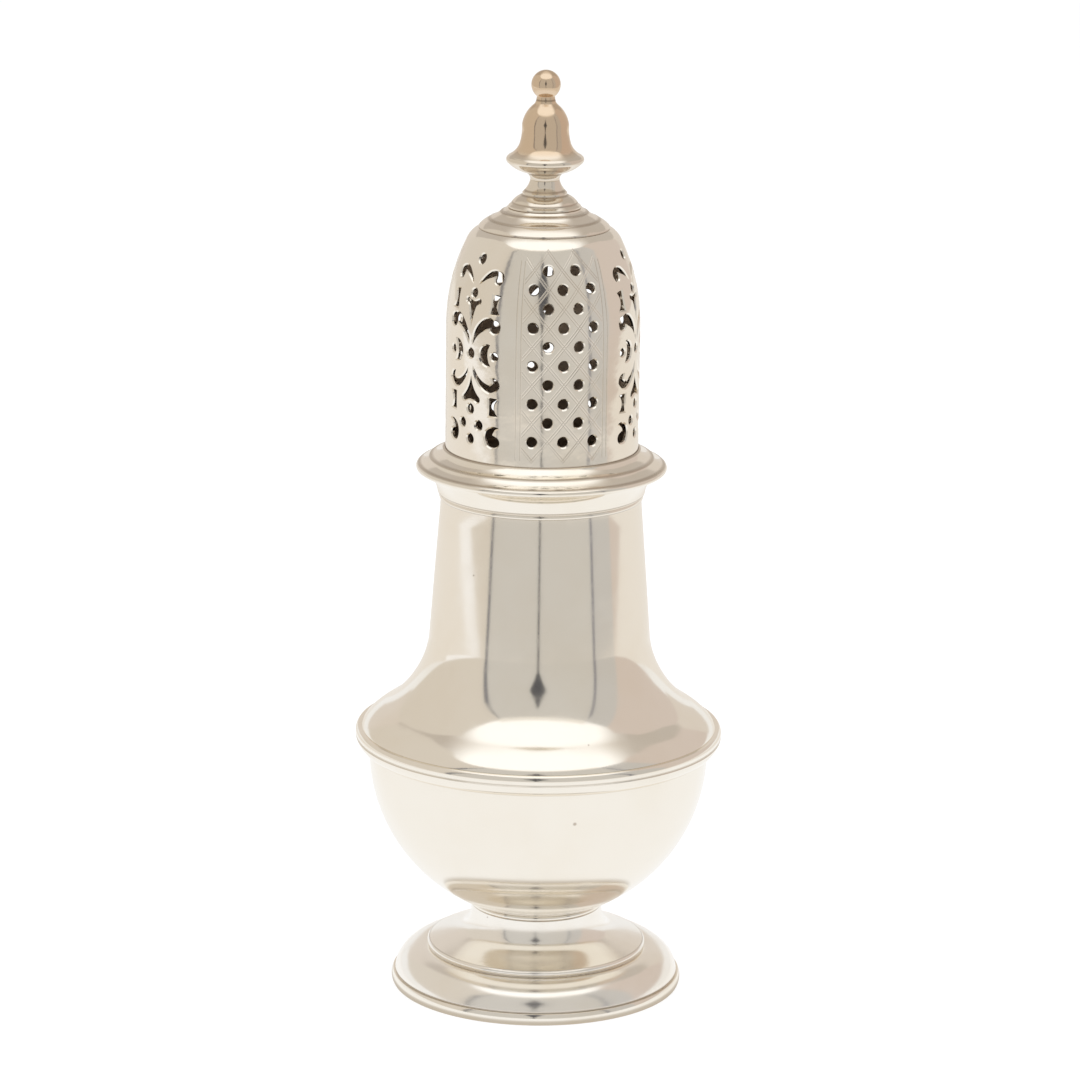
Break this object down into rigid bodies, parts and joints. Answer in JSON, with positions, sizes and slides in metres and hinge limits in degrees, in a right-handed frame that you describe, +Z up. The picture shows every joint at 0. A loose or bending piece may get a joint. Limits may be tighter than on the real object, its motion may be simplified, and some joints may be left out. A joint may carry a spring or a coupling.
{
  "type": "sugar caster",
  "caption": "Turned silver sugar caster: round bowl on a domed foot, girdle, waisted neck, and a pierced lift-off dome cover with a bell-shaped finial, for sprinkling sugar.",
  "frame": {"origin": "centre of the foot's underside, on the surface the caster stands on", "axes": "+Z up along the turning axis to the ball of the finial, -Y towards the viewer of the picture, +X to their right"},
  "size_m": [0.0702, 0.0702, 0.1781],
  "materials": {
    "foot_silver": "polished, with a light warm tarnish",
    "body_silver": "mirror polished",
    "cover_silver": "polished, pierced and engraved",
    "finial_silver": "polished casting with a coppery tarnish"
  },
  "bodies": {
    "body": {"foot_rim": "foot_silver", "foot": "foot_silver", "foot_collar": "foot_silver", "bowl": "body_silver", "girdle": "body_silver", "upper_body": "body_silver", "neck_rim": "body_silver"},
    "cover": {"cover_sleeve": "cover_silver", "cover_flange": "cover_silver", "cover_dome": "cover_silver", "cover_cap": "cover_silver", "finial_pedestal": "finial_silver", "finial": "finial_silver"}
  },
  "joints": [
    {"name": "cover_lift", "type": "slide", "parent": "body", "child": "cover", "axis": [0, 0, 1], "range_m": [0, 0.04]}
  ]
}
